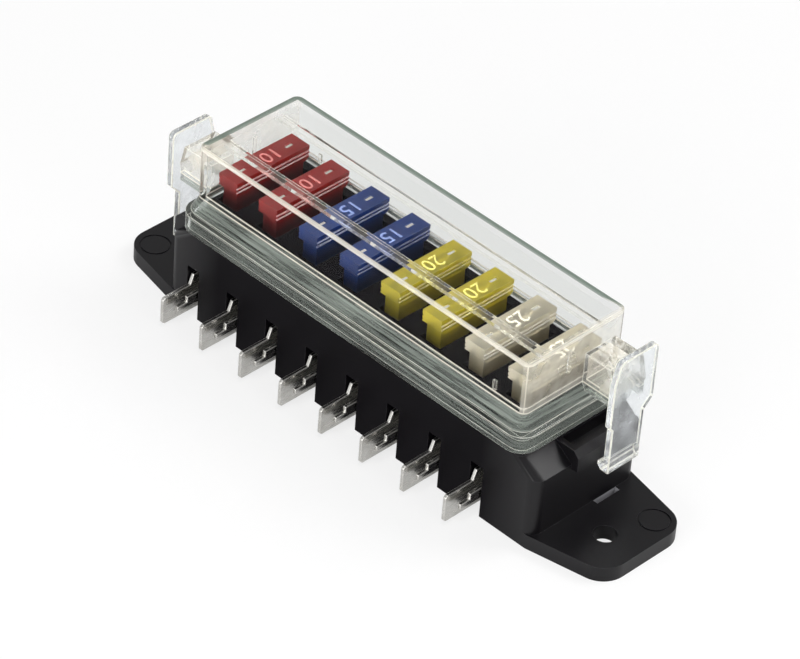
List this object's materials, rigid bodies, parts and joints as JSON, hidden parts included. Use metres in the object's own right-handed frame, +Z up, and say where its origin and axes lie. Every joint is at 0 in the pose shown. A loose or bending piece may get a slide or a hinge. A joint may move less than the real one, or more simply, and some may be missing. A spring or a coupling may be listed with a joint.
{
  "type": "fuse box",
  "caption": "Long flat-based fuse box for plug-in blade fuses, with a screw ear at each end, tab terminals along both sides and a clear cover held by two end latches.",
  "frame": {"origin": "centre of the flat underside, midway between the two ears and between the two rows of tabs", "axes": "+X along the length towards the ear at the right of the picture, +Y across towards the back row of tabs, +Z up out of the cover's top"},
  "size_m": [0.133, 0.0434, 0.0405],
  "materials": {
    "base_plastic": "satin moulded",
    "cover_plastic": "clear moulded",
    "fuse_red": "tinted clear",
    "fuse_blue": "tinted clear",
    "fuse_yellow": "tinted clear",
    "fuse_clear": "clear moulded",
    "fuse_metal": "bright plated",
    "tinned_terminal": "bright tinned"
  },
  "bodies": {
    "base": {"base_housing": "base_plastic", "fuse_1_body": "fuse_red", "fuse_2_body": "fuse_red", "fuse_3_body": "fuse_blue", "fuse_4_body": "fuse_blue", "fuse_5_body": "fuse_yellow", "fuse_6_body": "fuse_yellow", "fuse_7_body": "fuse_clear", "fuse_8_body": "fuse_clear", "fuse_1_element": "fuse_metal", "fuse_2_element": "fuse_metal", "fuse_3_element": "fuse_metal", "fuse_4_element": "fuse_metal", "fuse_5_element": "fuse_metal", "fuse_6_element": "fuse_metal", "fuse_7_element": "fuse_metal", "fuse_8_element": "fuse_metal", "terminal_front_1": "tinned_terminal", "terminal_front_2": "tinned_terminal", "terminal_front_3": "tinned_terminal", "terminal_front_4": "tinned_terminal", "terminal_front_5": "tinned_terminal", "terminal_front_6": "tinned_terminal", "terminal_front_7": "tinned_terminal", "terminal_front_8": "tinned_terminal", "terminal_rear_1": "tinned_terminal", "terminal_rear_2": "tinned_terminal", "terminal_rear_3": "tinned_terminal", "terminal_rear_4": "tinned_terminal", "terminal_rear_5": "tinned_terminal", "terminal_rear_6": "tinned_terminal", "terminal_rear_7": "tinned_terminal", "terminal_rear_8": "tinned_terminal"},
    "lid": {"cover": "cover_plastic"},
    "left_latch": {"latch_left": "cover_plastic"},
    "right_latch": {"latch_right": "cover_plastic"}
  },
  "joints": [
    {"name": "cover_lift", "type": "slide", "parent": "base", "child": "lid", "axis": [0, 0, 1], "range_m": [0, 0.04]},
    {"name": "left_latch_press", "type": "hinge", "parent": "lid", "child": "left_latch", "pos_m": [-0.0506, -0.0066, 0.0306], "axis": [0, 1, 0], "range_deg": [0, 12], "stiffness_Nm_per_rad": 0.05},
    {"name": "right_latch_press", "type": "hinge", "parent": "lid", "child": "right_latch", "pos_m": [0.0506, 0.0066, 0.0306], "axis": [0, -1, 0], "range_deg": [0, 12], "stiffness_Nm_per_rad": 0.05}
  ]
}
